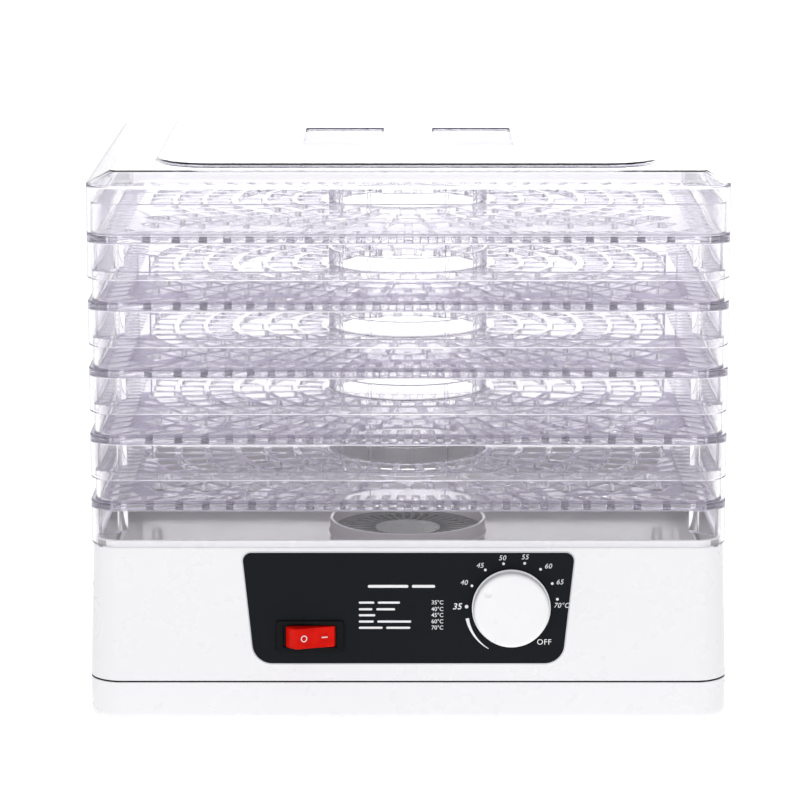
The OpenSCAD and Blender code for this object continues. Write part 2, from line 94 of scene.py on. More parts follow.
def soften(pts, n=3):
    """Open side profile of (inset, z, radius) with its corners rounded."""
    out = []
    for i, (x, z, r) in enumerate(pts):
        if r <= 0 or i in (0, len(pts) - 1):
            out.append((x, z))
            continue
        a, b, c = (Vector(pts[j][:2]) for j in (i - 1, i, i + 1))
        u, v = (a - b).normalized(), (c - b).normalized()
        half = u.angle(v) / 2
        o = b + (u + v).normalized() * r / sin(half)
        p, q = b + u * r / tan(half), b + v * r / tan(half)
        s, e = atan2(p.y - o.y, p.x - o.x), atan2(q.y - o.y, q.x - o.x)
        while e - s > pi:
            e -= 2 * pi
        while e - s < -pi:
            e += 2 * pi
        for j in range(n + 1):
            t = s + (e - s) * j / n
            out.append((o.x + r * cos(t), o.y + r * sin(t)))
    return out


# ---------------------------------------------------------------- meshes

def within(c, poly):
    """Whether a point is inside a closed polygon."""
    hit = False
    a = poly[-1]
    for b in poly:
        if (a.y > c.y) != (b.y > c.y) and c.x < a.x + (c.y - a.y) * (b.x - a.x) / (b.y - a.y):
            hit = not hit
        a = b
    return hit


class Solid:
    def __init__(self):
        self.v, self.f = [], []

    def loop(self, pts):
        s = len(self.v)
        self.v += [Vector(p) for p in pts]
        return list(range(s, len(self.v)))

    def bridge(self, a, b):
        n = len(a)
        for i in range(n):
            j = (i + 1) % n
            self.f.append((a[i], a[j], b[j], b[i]))

    def skin(self, loops):
        ids = [self.loop(p) for p in loops]
        for a, b in zip(ids, ids[1:]):
            self.bridge(a, b)
        return ids

    def fan(self, a, pt):
        c = self.loop([pt])[0]
        n = len(a)
        for i in range(n):
            self.f.append((a[i], a[(i + 1) % n], c))

    def cap(self, outer, holes=(), axes=(0, 1)):
        """Flat face between closed loops, filled by a Delaunay triangulation."""
        ids, edges = [], []
        for lp in [outer] + list(holes):
            s = len(ids)
            ids += lp
            edges += [(s + i, s + (i + 1) % len(lp)) for i in range(len(lp))]
        co = [Vector((self.v[i][axes[0]], self.v[i][axes[1]])) for i in ids]
        r = delaunay_2d_cdt(co, edges, [], 0, 1e-7, True)
        if len(r[0]) != len(co):
            raise ValueError("the loops of a flat face meet")
        loops = [outer] + list(holes)
        of = [k for k, lp in enumerate(loops) for _ in lp]
        starts = [0]
        for q in loops:
            starts.append(starts[-1] + len(q))
        back = [o[0] for o in r[3]]
        for f in r[2]:
            g = [back[i] for i in f]
            k = of[g[0]]
            if of[g[1]] == k and of[g[2]] == k:
                # All on one loop: kept if inside the outline, or outside the hole
                c = (co[g[0]] + co[g[1]] + co[g[2]]) / 3
                if within(c, co[starts[k]:starts[k] + len(loops[k])]) == (k > 0):
                    continue
            self.f.append(tuple(ids[i] for i in g))

    def tube(self, loops, axes=(0, 1)):
        """Closed body skinned over the loops, capped at both ends."""
        ids = self.skin(loops)
        self.cap(ids[0], axes=axes)
        self.cap(ids[-1], axes=axes)
        return ids

    def mesh(self, name, m=None, sharp=32):
        me = bpy.data.meshes.new(name)
        pts = self.v if m is None else [m @ p for p in self.v]
        me.from_pydata([p * MM for p in pts], [], self.f)
        bm = bmesh.new()
        bm.from_mesh(me)
        bmesh.ops.remove_doubles(bm, verts=bm.verts, dist=1e-7)
        bmesh.ops.dissolve_degenerate(bm, dist=1e-8, edges=bm.edges)
        bmesh.ops.recalc_face_normals(bm, faces=bm.faces)
        bm.to_mesh(me)
        bm.free()
        me.shade_smooth()
        if sharp:
            me.set_sharp_from_angle(angle=radians(sharp))
        return me


def place(name, me, material, body, replaces=(), weighted=True, at=(0, 0, 0)):
    ob = bpy.data.objects.new(name, me)
    bpy.context.scene.collection.objects.link(ob)
    ob.location = Vector(at) * MM
    if not me.materials:
        me.materials.append(material)
    if weighted:
        w = ob.modifiers.new("weighted", "WEIGHTED_NORMAL")
        w.mode = "FACE_AREA"
        w.weight = 50
        w.keep_sharp = True
    bpy.context.view_layer.update()
    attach(ob, body)
    if replaces:
        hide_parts(*replaces)
    return ob


# ---------------------------------------------------------------- materials

def nodes_of(name):
    m = bpy.data.materials.new(name)
    m.use_nodes = True
    t = m.node_tree
    return m, t, t.nodes["Principled BSDF"], t.nodes["Material Output"]


def noise(t, scale, detail=4.0, rough=0.5, coord=None, stretch=None):
    c = coord or t.nodes.new("ShaderNodeTexCoord").outputs["Object"]
    if stretch:
        mp = t.nodes.new("ShaderNodeMapping")
        mp.inputs["Scale"].default_value = stretch
        t.links.new(c, mp.inputs["Vector"])
        c = mp.outputs["Vector"]
    n = t.nodes.new("ShaderNodeTexNoise")
    n.inputs["Scale"].default_value = scale
    n.inputs["Detail"].default_value = detail
    n.inputs["Roughness"].default_value = rough
    t.links.new(c, n.inputs["Vector"])
    return n.outputs["Fac"]


def span(t, fac, lo, hi, a=0.35, b=0.65):
    r = t.nodes.new("ShaderNodeMapRange")
    r.inputs["From Min"].default_value = a
    r.inputs["From Max"].default_value = b
    r.inputs["To Min"].default_value = lo
    r.inputs["To Max"].default_value = hi
    t.links.new(fac, r.inputs["Value"])
    return r.outputs["Result"]


def two(t, fac, a, b):
    x = t.nodes.new("ShaderNodeMix")
    x.data_type = "RGBA"
    t.links.new(fac, x.inputs[0])
    x.inputs[6].default_value = (*a, 1)
    x.inputs[7].default_value = (*b, 1)
    return x.outputs[2]


def bump(t, height, strength, dist, under=None):
    b = t.nodes.new("ShaderNodeBump")
    b.inputs["Strength"].default_value = strength
    b.inputs["Distance"].default_value = dist
    t.links.new(height, b.inputs["Height"])
    if under:
        t.links.new(under, b.inputs["Normal"])
    return b.outputs["Normal"]


def moulded(name, a, b, rough, drough=0.05, grain=900.0, depth=0.25, metal=0.0, coat=0.0, broad=14.0,
            stretch=None, spec=0.5, dist=0.00006):
    """Moulded or sheet surface: slow colour drift, fine grain in bump, uneven gloss."""
    m, t, p, o = nodes_of(name)
    t.links.new(two(t, span(t, noise(t, broad, 3.0), 0, 1), a, b), p.inputs["Base Color"])
    t.links.new(span(t, noise(t, 60.0, 5.0, 0.6, stretch=stretch), rough - drough, rough + drough), p.inputs["Roughness"])
    fine = bump(t, noise(t, grain, 3.0, 0.6, stretch=stretch), depth, dist)
    t.links.new(fine, p.inputs["Normal"])
    p.inputs["Metallic"].default_value = metal
    p.inputs["Coat Weight"].default_value = coat
    p.inputs["Coat Roughness"].default_value = 0.03
    p.inputs["Specular IOR Level"].default_value = spec
    return m


def clear(name, tint, edge_shade_tint, lo, hi, rough=0.012, through=1.0):
    """Clear styrene: slow flow marks in the surface, light dust of roughness; towards grazing angles its colour goes
    over to a dark lilac, a painted edge shade; lamps shine through."""
    m, t, p, o = nodes_of(name)
    lw = t.nodes.new("ShaderNodeLayerWeight")
    lw.inputs["Blend"].default_value = 0.5
    x = t.nodes.new("ShaderNodeMix")
    x.data_type = "RGBA"
    t.links.new(span(t, lw.outputs["Facing"], 0, 1, lo, hi), x.inputs[0])
    t.links.new(two(t, span(t, noise(t, 9.0, 2.0), 0, 1), tint, [min(1, c + 0.015) for c in tint]), x.inputs[6])
    x.inputs[7].default_value = (*edge_shade_tint, 1)
    t.links.new(x.outputs[2], p.inputs["Base Color"])
    t.links.new(span(t, noise(t, 40.0, 6.0, 0.65), rough * 0.4, rough * 2.2), p.inputs["Roughness"])
    slow = bump(t, noise(t, 22.0, 2.0, 0.4), 0.08, 0.0004)
    t.links.new(bump(t, noise(t, 320.0, 2.0), 0.05, 0.00005, slow), p.inputs["Normal"])
    p.inputs["Transmission Weight"].default_value = through
    p.inputs["IOR"].default_value = 1.5
    tr = t.nodes.new("ShaderNodeBsdfTransparent")
    tr.inputs["Color"].default_value = (0.93, 0.93, 0.945, 1)
    lp = t.nodes.new("ShaderNodeLightPath")
    mx = t.nodes.new("ShaderNodeMixShader")
    t.links.new(lp.outputs["Is Shadow Ray"], mx.inputs[0])
    t.links.new(p.outputs[0], mx.inputs[1])
    t.links.new(tr.outputs[0], mx.inputs[2])
    t.links.new(mx.outputs[0], o.inputs["Surface"])
    return m


# Each clear goes over to its edge colour at grazing angles: painted edge shade.
CLEAR = clear("clear_styrene", (0.984, 0.982, 0.988), (0.25, 0.20, 0.36), 0.72, 1.0)
# Darker lilac clear for the flat faces of the tray floors: painted shade.
CLEAR_WEB = clear("clear_styrene_web_painted_shade", (0.62, 0.575, 0.70), (0.15, 0.115, 0.225), 0.50, 0.86, 0.02, 0.85)
# Paler, partly matt clear for the slot walls, with a light painted edge shade.
CLEAR_CUT = clear("clear_styrene_cut", (0.95, 0.94, 0.97), (0.72, 0.69, 0.79), 0.60, 0.98, 0.02, 0.85)
CLEAR_LID = clear("clear_styrene_lid", (0.980, 0.978, 0.985), (0.33, 0.29, 0.47), 0.86, 1.0)
# Near-black lilac clear for the lips of the lid's finger openings: painted shade.
CLEAR_EDGE = clear("clear_styrene_edge_painted_shade", (0.13, 0.115, 0.21), (0.10, 0.09, 0.17), 0.5, 1.0)
WHITE = moulded("white_abs", (0.861, 0.861, 0.865), (0.866, 0.866, 0.869), 0.28, 0.015, 500.0, 0.015, coat=0.1)
# The deck is white plastic; its grey is painted shade under the trays.
DECK = moulded("white_abs_polished_painted_shade", (0.375, 0.355, 0.362), (0.425, 0.405, 0.412), 0.09, 0.025, 700.0, 0.03, spec=0.08)
# Greyer inside the collar: painted shade.
COLLAR = moulded("white_abs_collar_painted_shade", (0.60, 0.555, 0.565), (0.66, 0.615, 0.625), 0.16, 0.04, 700.0, 0.04, spec=0.3)
SEAM = moulded("seam_shadow", (0.035, 0.035, 0.04), (0.06, 0.06, 0.065), 0.55, 0.1, 900.0, 0.2, spec=0.1)
KNOB = moulded("white_knob", (0.86, 0.86, 0.86), (0.90, 0.90, 0.90), 0.30, 0.04, 1800.0, 0.12)
PANEL = moulded("panel_film", (0.0075, 0.0092, 0.0112), (0.0085, 0.0103, 0.0124), 0.42, 0.04, 2600.0, 0.10, spec=0.07, broad=5.0)
RIM = moulded("panel_rim", (0.55, 0.56, 0.57), (0.68, 0.69, 0.70), 0.25, 0.05, 1500.0, 0.1)
INK = moulded("white_ink", (0.80, 0.80, 0.80), (0.88, 0.88, 0.88), 0.45, 0.08, 3000.0, 0.3)
BLACK = moulded("black_nylon", (0.0032, 0.003, 0.0038), (0.0055, 0.005, 0.006), 0.28, 0.08, 1400.0, 0.25, spec=0.10)
RUBBER = moulded("foot_rubber", (0.035, 0.035, 0.035), (0.055, 0.055, 0.055), 0.75, 0.08, 1600.0, 0.6)
GREY = moulded("guard_grey", (0.055, 0.05, 0.054), (0.075, 0.07, 0.074), 0.30, 0.05, 1200.0, 0.06, spec=0.08)


def red_translucent():
    m, t, p, o = nodes_of("red_translucent")
    t.links.new(two(t, span(t, noise(t, 160.0, 3.0), 0, 1), (0.62, 0.004, 0.001), (0.74, 0.008, 0.002)), p.inputs["Base Color"])
    t.links.new(span(t, noise(t, 300.0, 4.0), 0.06, 0.16), p.inputs["Roughness"])
    t.links.new(bump(t, noise(t, 700.0, 2.0), 0.06, 0.00005), p.inputs["Normal"])
    p.inputs["Transmission Weight"].default_value = 0.06
    p.inputs["IOR"].default_value = 1.45
    p.inputs["Specular IOR Level"].default_value = 0.06
    return m


def laminated():
    m, t, p, o = nodes_of("laminated_steel")
    c = t.nodes.new("ShaderNodeTexCoord").outputs["Object"]
    w = t.nodes.new("ShaderNodeTexWave")
    w.wave_type, w.bands_direction = "BANDS", "Z"
    w.inputs["Scale"].default_value = 320.0
    w.inputs["Distortion"].default_value = 0.3
    t.links.new(c, w.inputs["Vector"])
    t.links.new(two(t, w.outputs["Fac"], (0.16, 0.16, 0.17), (0.34, 0.34, 0.36)), p.inputs["Base Color"])
    t.links.new(span(t, noise(t, 300.0, 4.0), 0.35, 0.6), p.inputs["Roughness"])
    t.links.new(bump(t, w.outputs["Fac"], 0.5, 0.0001), p.inputs["Normal"])
    p.inputs["Metallic"].default_value = 0.9
    return m


def wound(name, a, b, scale, metal):
    m, t, p, o = nodes_of(name)
    c = t.nodes.new("ShaderNodeTexCoord").outputs["Object"]
    w = t.nodes.new("ShaderNodeTexWave")
    w.wave_type, w.bands_direction = "BANDS", "X"
    w.inputs["Scale"].default_value = scale
    w.inputs["Distortion"].default_value = 0.8
    t.links.new(c, w.inputs["Vector"])
    t.links.new(two(t, w.outputs["Fac"], a, b), p.inputs["Base Color"])
    t.links.new(span(t, noise(t, 400.0, 3.0), 0.22, 0.42), p.inputs["Roughness"])
    t.links.new(bump(t, w.outputs["Fac"], 0.8, 0.0002), p.inputs["Normal"])
    p.inputs["Metallic"].default_value = metal
    return m


STEEL = moulded("plated_steel", (0.55, 0.55, 0.56), (0.68, 0.68, 0.70), 0.30, 0.10, 700.0, 0.25, metal=1.0, stretch=(1, 1, 6))
CARRIED = {
    "thermostat_shaft": STEEL, "heater_duct": STEEL, "motor_screws": STEEL, "housing_screws": STEEL,
    "bearing_brackets": STEEL, "motor_rotor": STEEL,
    "thermostat_body": moulded("thermostat_ceramic", (0.62, 0.58, 0.50), (0.72, 0.69, 0.61), 0.55, 0.12, 900.0, 0.5),
    "thermostat_nut": moulded("brass_plate", (0.62, 0.48, 0.22), (0.74, 0.60, 0.32), 0.28, 0.08, 700.0, 0.3, metal=1.0),
    "switch_terminals": moulded("brass_blade", (0.66, 0.54, 0.30), (0.76, 0.65, 0.42), 0.26, 0.08, 800.0, 0.2, metal=1.0),
    "heater_frame": moulded("mica_sheet", (0.42, 0.34, 0.22), (0.58, 0.49, 0.35), 0.38, 0.15, 300.0, 0.5, broad=120.0),
    "heater_coil": wound("heater_wire", (0.20, 0.19, 0.18), (0.44, 0.42, 0.40), 420.0, 0.9),
    "thermal_fuse": moulded("fuse_ceramic", (0.74, 0.71, 0.64), (0.82, 0.80, 0.74), 0.5, 0.1, 900.0, 0.4),
    "fan_impeller": moulded("impeller_nylon", (0.055, 0.055, 0.06), (0.085, 0.085, 0.09), 0.42, 0.1, 1000.0, 0.35),
    "motor_stator": laminated(),
    "motor_coil": wound("coil_wire", (0.28, 0.09, 0.03), (0.66, 0.28, 0.12), 520.0, 0.7),
    "terminal_block": moulded("block_nylon", (0.70, 0.68, 0.60), (0.80, 0.78, 0.70), 0.5, 0.1, 900.0, 0.4),
}
for n, m in CARRIED.items():
    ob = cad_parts[n]
    for s in range(max(1, len(ob.material_slots))):
        if not ob.material_slots:
            ob.data.materials.append(m)
        ob.material_slots[s].material = m

# ---------------------------------------------------------------- size, from the CAD

(lx0, ly0, lid_z), (lx1, ly1, lid_top) = mm("lid")
W, D = lx1 - lx0, ly1 - ly0
R = 16.0
HX, HY = W / 2, D / 2


def side(profile, n=10, hx=HX, hy=HY, r=R):
    return [rrect(hx - i, hy - i, max(r - i, 0.3), z, n) for i, z in profile]


# ---------------------------------------------------------------- trays

STEP, WALL, FLOOR = 2.5, 2.0, 3.5
IN = STEP + WALL
RING, RING_H = 43.5, 8.4
t_lo, t_hi = mm("tray_1_frame")
RIM_H, SKIRT, PITCH = 19.8, 19.6, mm("tray_1_frame")[0][2] - mm("tray_2_frame")[0][2]


def ray(a, r, s):
    return (r * cos(a) - s * sin(a), r * sin(a) + s * cos(a))


def edge(a, hx, hy):
    ca, sa = abs(cos(a)), abs(sin(a))
    return min(hx / ca if ca > 1e-3 else 1e4, hy / sa if sa > 1e-3 else 1e4)


def slots():
    """Openings of a tray floor, as corner points."""
    hx, hy, s = HX - IN, HY - IN, 1.85
    out = []
    for k in range(104):
        a, b = 2 * pi * k / 104, 2 * pi * (k + 1) / 104
        out.append([ray(a, edge(a, hx - 15, hy - 15), s), ray(a, edge(a, hx - 3.4, hy - 3.4), s),
                    ray(b, edge(b, hx - 3.4, hy - 3.4), -s), ray(b, edge(b, hx - 15, hy - 15), -s)])
    for n, radii in ((52, range(97, 194, 16)), (26, range(48, 81, 16))):
        for r in radii:
            for k in range(n):
                a, b = 2 * pi * k / n, 2 * pi * (k + 1) / n
                qa = min(r + 13, edge(a, hx - 18.5, hy - 18.5) - s)
                qb = min(r + 13, edge(b, hx - 18.5, hy - 18.5) - s)
                if min(qa, qb) - r > 6:
                    out.append([ray(a, r, s), ray(a, qa, s), ray(b, qb, -s), ray(b, r, -s)])
    return out


def ring_loop(r, z, rib=0.0):
    """Ring of the air passage; rib is how far its ribs stand inwards."""
    pts = []
    for k in range(12):
        c = radians(30 * k)
        h = 0.8 / r
        for a, q in ((c - h - 0.002, r), (c - h + 0.001, r - rib), (c + h - 0.001, r - rib), (c + h + 0.002, r)):
            pts.append((q * cos(a), q * sin(a), z))
        for j in range(1, 9):
            a = c + h + 0.002 + (radians(30) - 2 * h - 0.004) * j / 9
            pts.append((r * cos(a), r * sin(a), z))
    return pts


def tray_mesh():
    s = Solid()
    prof = soften([(6.4, FLOOR, 0), (IN, FLOOR, 1.3), (IN, RIM_H, 0.6), (STEP, RIM_H, 0.6), (STEP, FLOOR, 0.5),
                   (0, FLOOR, 0.8), (0, -SKIRT, 0.5), (WALL, -SKIRT, 0.5), (WALL, 0, 1.0), (6.4, 0, 0)])
    wall = s.skin(side(prof))
    top_holes, low_holes = [], []
    for c in slots():
        ids = s.skin([rpoly(c, [0.8] * 4, o, z, 3) for o, z in ((0.3, FLOOR), (0.0, FLOOR - 0.3), (0.0, 0.3), (0.3, 0.0))])
        top_holes.append(ids[0])
        low_holes.append(ids[-1])
    t = FLOOR + RING_H
    q = RING - WALL
    ring = s.skin([ring_loop(RING + 1.0, FLOOR), ring_loop(RING + 0.3, FLOOR + 0.3), ring_loop(RING, FLOOR + 1.0),
                   ring_loop(RING, t - 0.5), ring_loop(RING - 0.15, t - 0.15), ring_loop(RING - 0.5, t), ring_loop(q + 0.5, t),
                   ring_loop(q + 0.15, t - 0.15), ring_loop(q, t - 0.5), ring_loop(q, t - 0.9),
                   ring_loop(q, t - 1.1, 1.2), ring_loop(q, 0.4, 1.2), ring_loop(q + 0.3, 0.0, 1.2)])
    s.cap(wall[0], top_holes + [ring[0]])
    s.cap(wall[-1], low_holes + [ring[-1]])
    # Stacking posts in the corners, each with its web
    for sx in (-1, 1):
        for sy in (-1, 1):
            g = atan2(sy, sx)
            cx, cy = sx * (HX - R), sy * (HY - R)

            def post(off, z):
                a0 = atan2(1.0, 2.83)
                pts = [((3 + off) * cos(a0 + (2 * pi - 2 * a0) * i / 24), (3 + off) * sin(a0 + (2 * pi - 2 * a0) * i / 24)) for i in range(25)]
                pts += [(8, -1 - off), (R - WALL - 0.08, -1 - off), (R - WALL - 0.08, 1 + off), (8, 1 + off)]
                return [(cx + x * cos(g) - y * sin(g), cy + x * sin(g) + y * cos(g), z) for x, y in pts]
            h = PITCH - RIM_H - 0.04
            s.tube([post(-0.4, -h), post(0, -h + 0.4), post(0, -0.08)])
    me = s.mesh("tray")
    me.materials.append(CLEAR)
    me.materials.append(CLEAR_WEB)
    me.materials.append(CLEAR_CUT)
    # The ribs between the slots: their tops and undersides take a darker lilac clear, painted shade for how the floor
    # darkens when seen along it; the slot walls take a paler, partly matt clear with only a light painted edge shade
    for f in me.polygons:
        z = f.center.z / MM
        x, y = f.center.x / MM, f.center.y / MM
        if abs(f.normal.z) > 0.9 and (abs(z - FLOOR) < 0.05 or abs(z) < 0.05):
            f.material_index = 1
        elif (0.1 < z < FLOOR - 0.1 and abs(f.normal.z) < 0.8 and abs(x) < HX - IN - 2 and abs(y) < HY - IN - 2
              and x * x + y * y > (RING + 2) ** 2):
            f.material_index = 2
    return me


tray = tray_mesh()
for i in range(1, 6):
    z = mm("tray_%d_frame" % i)[0][2] + SKIRT
    place("tray_%d_moulding" % i, tray, CLEAR, "tray_%d" % i, ("tray_%d_frame" % i, "tray_%d_grille" % i), at=(0, 0, z))

# ---------------------------------------------------------------- lid

LID_SIDE, LID_H, PANEL_H = 25.4, 32.2, 1.4
GRIP_W, GRIP_D, GRIP_X = 43.0, 81.0, 35.0


def lid_mesh():
    s = Solid()
    hx, hy, r = 131.0, 113.5, 28.0
    outer = side(soften([(WALL, 6, 0), (WALL, 0, 0.5), (0, 0, 0.5), (0, LID_SIDE, 1.0), (12.8, LID_H, 1.4), (14.8, LID_H, 0)], 4))
    top = LID_H + PANEL_H
    outer += [rrect(hx + o, hy + o, r + o, z) for o, z in (
        (1.5, LID_H), (0.9, LID_H + 0.12), (0.3, LID_H + 0.42), (-0.4, top - 0.42), (-1.0, top - 0.12), (-1.7, top))]
    inner = side(soften([(WALL, 6, 0), (WALL, LID_SIDE - 0.9, 1.0), (13.6, LID_H - WALL, 1.5), (16.5, LID_H - WALL, 0)], 4))
    inner += [rrect(hx + o, hy + o, r + o, z) for o, z in (
        (0.9, LID_H - WALL), (0.3, LID_H - WALL + 0.12), (-0.3, LID_H - WALL + 0.42), (-1.0, top - WALL - 0.42), (-1.6, top - WALL - 0.12), (-2.3, top - WALL))]
    low = top - 10.4
    o = s.skin(outer)
    n = s.skin(inner[1:])
    s.bridge(o[0], n[0])
    ups, downs = [], []
    for sx in (-1, 1):
        def g(off, z):
            return [(x + sx * GRIP_X, y, q) for x, y, q in rrect(GRIP_W / 2 + off, GRIP_D / 2 + off, 2.5 + off, z, 6)]
        ids = s.skin([g(0.9, top), g(0.5, top - 0.1), g(0.15, top - 0.35), g(0, top - 0.8), g(0, low + 0.5), g(0.15, low + 0.15), g(0.5, low),
                      g(1.5, low), g(1.85, low + 0.15), g(2, low + 0.5), g(2, top - WALL - 0.7), g(2.2, top - WALL - 0.2), g(2.7, top - WALL)])
        ups.append(ids[0])
        downs.append(ids[-1])
    s.cap(o[-1], ups)
    s.cap(n[-1], downs)
    me = s.mesh("lid_shell")
    me.materials.append(CLEAR_LID)
    me.materials.append(CLEAR_EDGE)
    # Lips of the finger openings, in a near-black lilac clear: painted shade where the openings' walls look dark
    for f in me.polygons:
        x, y, z = (c / MM for c in f.center)
        if z > top - 0.85 and abs(f.normal.z) < 0.97 and abs(abs(x) - GRIP_X) < GRIP_W / 2 + 1.2 and abs(y) < GRIP_D / 2 + 1.2:
            f.material_index = 1
    return me


place("lid_moulding", lid_mesh(), CLEAR_LID, "lid", ("lid",), at=(0, 0, lid_z))

# ---------------------------------------------------------------- housing

z_seam = mm("upper_housing")[0][2]
z_bot = mm("base_pan")[0][2]
z_sh = z_bot + 95.0
z_deck = mm("air_guard")[0][2]
TOP_IN, DRAFT, SPIGOT = 1.0, 2.5, 3.2
LEAN = atan(DRAFT / (z_sh - z_seam))


def housing_mesh():
    s = Solid()
    prof = soften([(1.5, z_seam, 0), (TOP_IN - DRAFT, z_seam, 0.5), (TOP_IN, z_sh, 1.1), (STEP, z_sh, 0.2), (STEP, z_sh + SPIGOT, 0.6),
                   (IN, z_sh + SPIGOT, 0.6), (IN, z_deck, 3.0), (11.0, z_deck, 0)], 4)
    o = s.skin(side(prof, 14))
    under = soften([(1.5, z_seam, 0), (3.5, z_seam, 0.3), (3.5, z_deck - 2.5, 1.0), (9, z_deck - 2.5, 0)], 3)
    n = s.skin(side(under, 14)[1:])
    s.bridge(o[0], n[0])
    c = z_deck + 8.0
    ring = s.skin([circle(0, 0, r, z, 144) for r, z in (
        (RING + 1.2, z_deck), (RING + 0.5, z_deck + 0.2), (RING + 0.1, z_deck + 0.8), (RING, z_deck + 1.6), (RING, c - 0.7), (RING - 0.2, c - 0.2), (RING - 0.6, c),
        (RING - 1.4, c), (RING - 1.8, c - 0.2), (RING - 2, c - 0.7), (RING - 2, z_deck), (RING - 4.5, z_deck), (RING - 4.5, z_deck - 2.5))])
    s.cap(o[-1], [ring[0]])
    s.cap(n[-1], [ring[-1]])
    for sx in (-1, 1):
        for sy in (-1, 1):
            s.tube([circle(sx * 138, sy * 112, r, z, 32) for r, z in ((4.1, z_seam + 1.2), (4.5, z_seam + 1.6), (4.5, z_deck - 2.0))])
    me = s.mesh("housing")
    me.materials.append(WHITE)
    me.materials.append(DECK)
    me.materials.append(COLLAR)
    # The well and the collar are polished in the mould, and coloured grey instead of white: painted shade for the light
    # the trays above hold back, darker still inside the collar
    for f in me.polygons:
        z = f.center.z / MM
        if z > z_deck - 0.1 and z < z_sh + SPIGOT - 0.8 and max(abs(f.center.x / MM) - HX, abs(f.center.y / MM) - HY) < -IN + 0.1:
            f.material_index = 2 if f.center.x ** 2 + f.center.y ** 2 < ((RING + 1.3) * MM) ** 2 else 1
    return me


place("upper_shell", housing_mesh(), WHITE, "base", ("upper_housing",))


def pan_mesh():
    s = Solid()
    o = s.skin(side(soften([(9.0, z_bot, 0), (TOP_IN - DRAFT + 0.2, z_bot, 6.6), (TOP_IN - DRAFT, z_seam - 0.8, 0.5), (0.9, z_seam - 0.8, 0), (0.9, z_seam, 0),
                            (3.5, z_seam, 0), (3.5, z_bot + 2.4, 2.2), (9.0, z_bot + 2.4, 0)], 7), 14))
    lows, ups = [], []

    def through(f):
        ids = s.skin([f(0.4, z_bot), f(0, z_bot + 0.4), f(0, z_bot + 2.1), f(0.3, z_bot + 2.4)])
        lows.append(ids[0])
        ups.append(ids[-1])

    for k in range(24):
        a = radians(15 * k + 7.5)
        rows = [(44, 68)] + ([(14, 32)] if k % 2 == 0 else [])
        for r0, r1 in rows:
            pts = [ray(a, r0, -2.2), ray(a, r1, -2.2), ray(a, r1, 2.2), ray(a, r0, 2.2)]
            through(lambda off, z, pts=pts: rpoly(pts, [2.0] * 4, off, z, 4))
    # Screw recesses
    for sx in (-1, 1):
        for sy in (-1, 1):
            x, y = sx * 138, sy * 112
            ids = s.skin([circle(x, y, r, z, 32) for r, z in ((4.7, z_bot), (4.2, z_bot + 0.5), (4.2, z_bot + 12))])
            lows.append(ids[0])
            s.cap(ids[-1])
            s.tube([circle(x, y, r, z, 32) for r, z in ((6, z_bot + 2.3), (6, z_bot + 23), (5.6, z_bot + 23.4))])
    s.cap(o[0], lows)
    s.cap(o[-1], ups)
    for sx in (-1, 1):
        s.tube([circle(sx * 38, 0, r, z, 32) for r, z in ((4.6, z_bot + 2.3), (4, z_bot + 3.2), (4, z_bot + 7.6), (3.6, z_bot + 8))])
    me = s.mesh("pan")
    me.materials.append(WHITE)
    me.materials.append(SEAM)
    # The shadow gap under the upper half
    for f in me.polygons:
        if z_seam - 0.85 < f.center.z / MM < z_seam + 0.01 and max(abs(f.center.x / MM) - HX, abs(f.center.y / MM) - HY) < 1.0:
            f.material_index = 1
    return me


place("lower_shell", pan_mesh(), WHITE, "base", ("base_pan",))

s = Solid()
for sx in (-1, 1):
    for sy in (-1, 1):
        x, y = sx * 128, sy * 100
        prof = soften([(0, 1.2, 0), (4.6, 1.2, 0.4), (5.2, 0, 0.5), (8.1, 0, 0.9), (8.5, z_bot, 0), (3, z_bot, 0), (3, z_bot + 2.4, 0), (4.2, z_bot + 2.4, 0), (3, z_bot + 4.4, 0)], 3)
        ids = s.skin([circle(x, y, max(r, 0.02), z, 40) for r, z in prof])
        s.cap(ids[0])
        s.cap(ids[-1])
place("feet", s.mesh("feet"), RUBBER, "base", ("rubber_feet",))

# Guard in the collar
s = Solid()
gz = z_deck
holes_t, holes_b = [], []
for k in range(36):
    a = radians(10 * k)
    pts = [ray(a, 18, -1.3), ray(a, 33.5, -1.3), ray(a, 33.5, 1.3), ray(a, 18, 1.3)]
    ids = s.skin([rpoly(pts, [1.25] * 4, off, z, 4) for off, z in ((0.3, gz + 2), (0, gz + 1.7), (0, gz + 0.05))])
    holes_t.append(ids[0])
    holes_b.append(ids[-1])
o = s.skin([circle(0, 0, r, z, 144) for r, z in ((RING - 2.6, gz + 2.0), (RING - 2.25, gz + 1.7), (RING - 2.25, gz + 0.05))])
s.cap(o[0], holes_t)
s.cap(o[-1], holes_b)
place("guard", s.mesh("guard"), GREY, "base", ("air_guard",))

# ---------------------------------------------------------------- front panel and controls

FACE_Y = HY - TOP_IN


def on_face(x, z):
    h = z_bot + z
    return Matrix.Translation((x, -(FACE_Y + (z_sh - h) * tan(LEAN)), h)) @ Matrix.Rotation(pi / 2 - LEAN, 4, "X")


PM = 62.6
PANEL_PTS = [(x, (y - PM) / cos(LEAN)) for x, y in ((-80.6, 32.6), (80.6, 32.6), (86.9, 92.6), (-86.9, 92.6))]
PANEL_R = [11, 11, 5, 5]
face0 = on_face(0, PM)

s = Solid()
s.tube([rpoly(PANEL_PTS, PANEL_R, o, z, 12) for o, z in ((-0.95, 0.4), (-0.75, 0.34), (-0.7, 0.2), (-0.7, -0.5))])
place("panel_film", s.mesh("film", face0), PANEL, "base", ("control_panel",))
s = Solid()
ids = s.skin([rpoly(PANEL_PTS, PANEL_R, o, z, 12) for o, z in ((-0.72, -0.5), (-0.72, 0.12), (-0.6, 0.2), (-0.15, 0.2), (0, 0.1), (0, -0.5), (-0.72, -0.5))])
place("panel_edge", s.mesh("film_edge", face0), RIM, "base")

